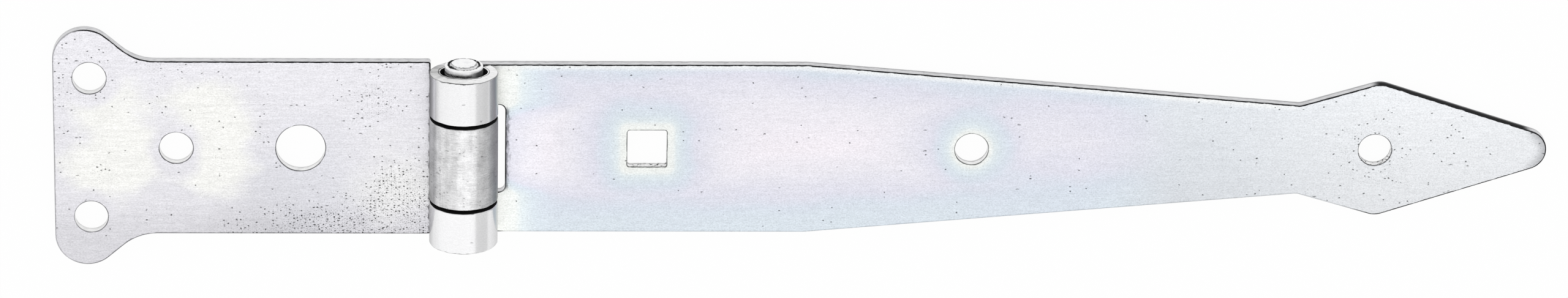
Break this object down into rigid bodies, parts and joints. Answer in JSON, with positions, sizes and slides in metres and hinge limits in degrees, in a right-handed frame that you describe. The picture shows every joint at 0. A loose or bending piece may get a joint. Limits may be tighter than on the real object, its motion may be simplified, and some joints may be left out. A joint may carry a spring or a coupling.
{
  "type": "strap hinge",
  "caption": "Long strap hinge: flared mounting plate, rolled three-knuckle barrel with a captive pin, and a tapered strap with a spear point.",
  "frame": {"origin": "on the mounting surface, straight under the pin's axis, at the middle of the barrel", "axes": "+X along the strap towards its point, +Y along the pin towards its taller end, +Z out of the mounting surface"},
  "size_m": [0.35, 0.0594, 0.016],
  "materials": {
    "plate_steel": "bright zinc plate over rolled steel sheet, fine rolling grain with small pits",
    "strap_steel": "bright zinc plate with a pale blue and straw passivation",
    "pin_steel": "bright zinc plate over turned steel"
  },
  "bodies": {
    "plate": {"mounting_plate": "plate_steel"},
    "strap": {"strap": "strap_steel", "hinge_pin": "pin_steel"}
  },
  "joints": [
    {"name": "hinge_pivot", "type": "hinge", "parent": "plate", "child": "strap", "pos_m": [0, 0, 0.008], "axis": [0, -1, 0], "range_deg": [-85, 186]}
  ]
}
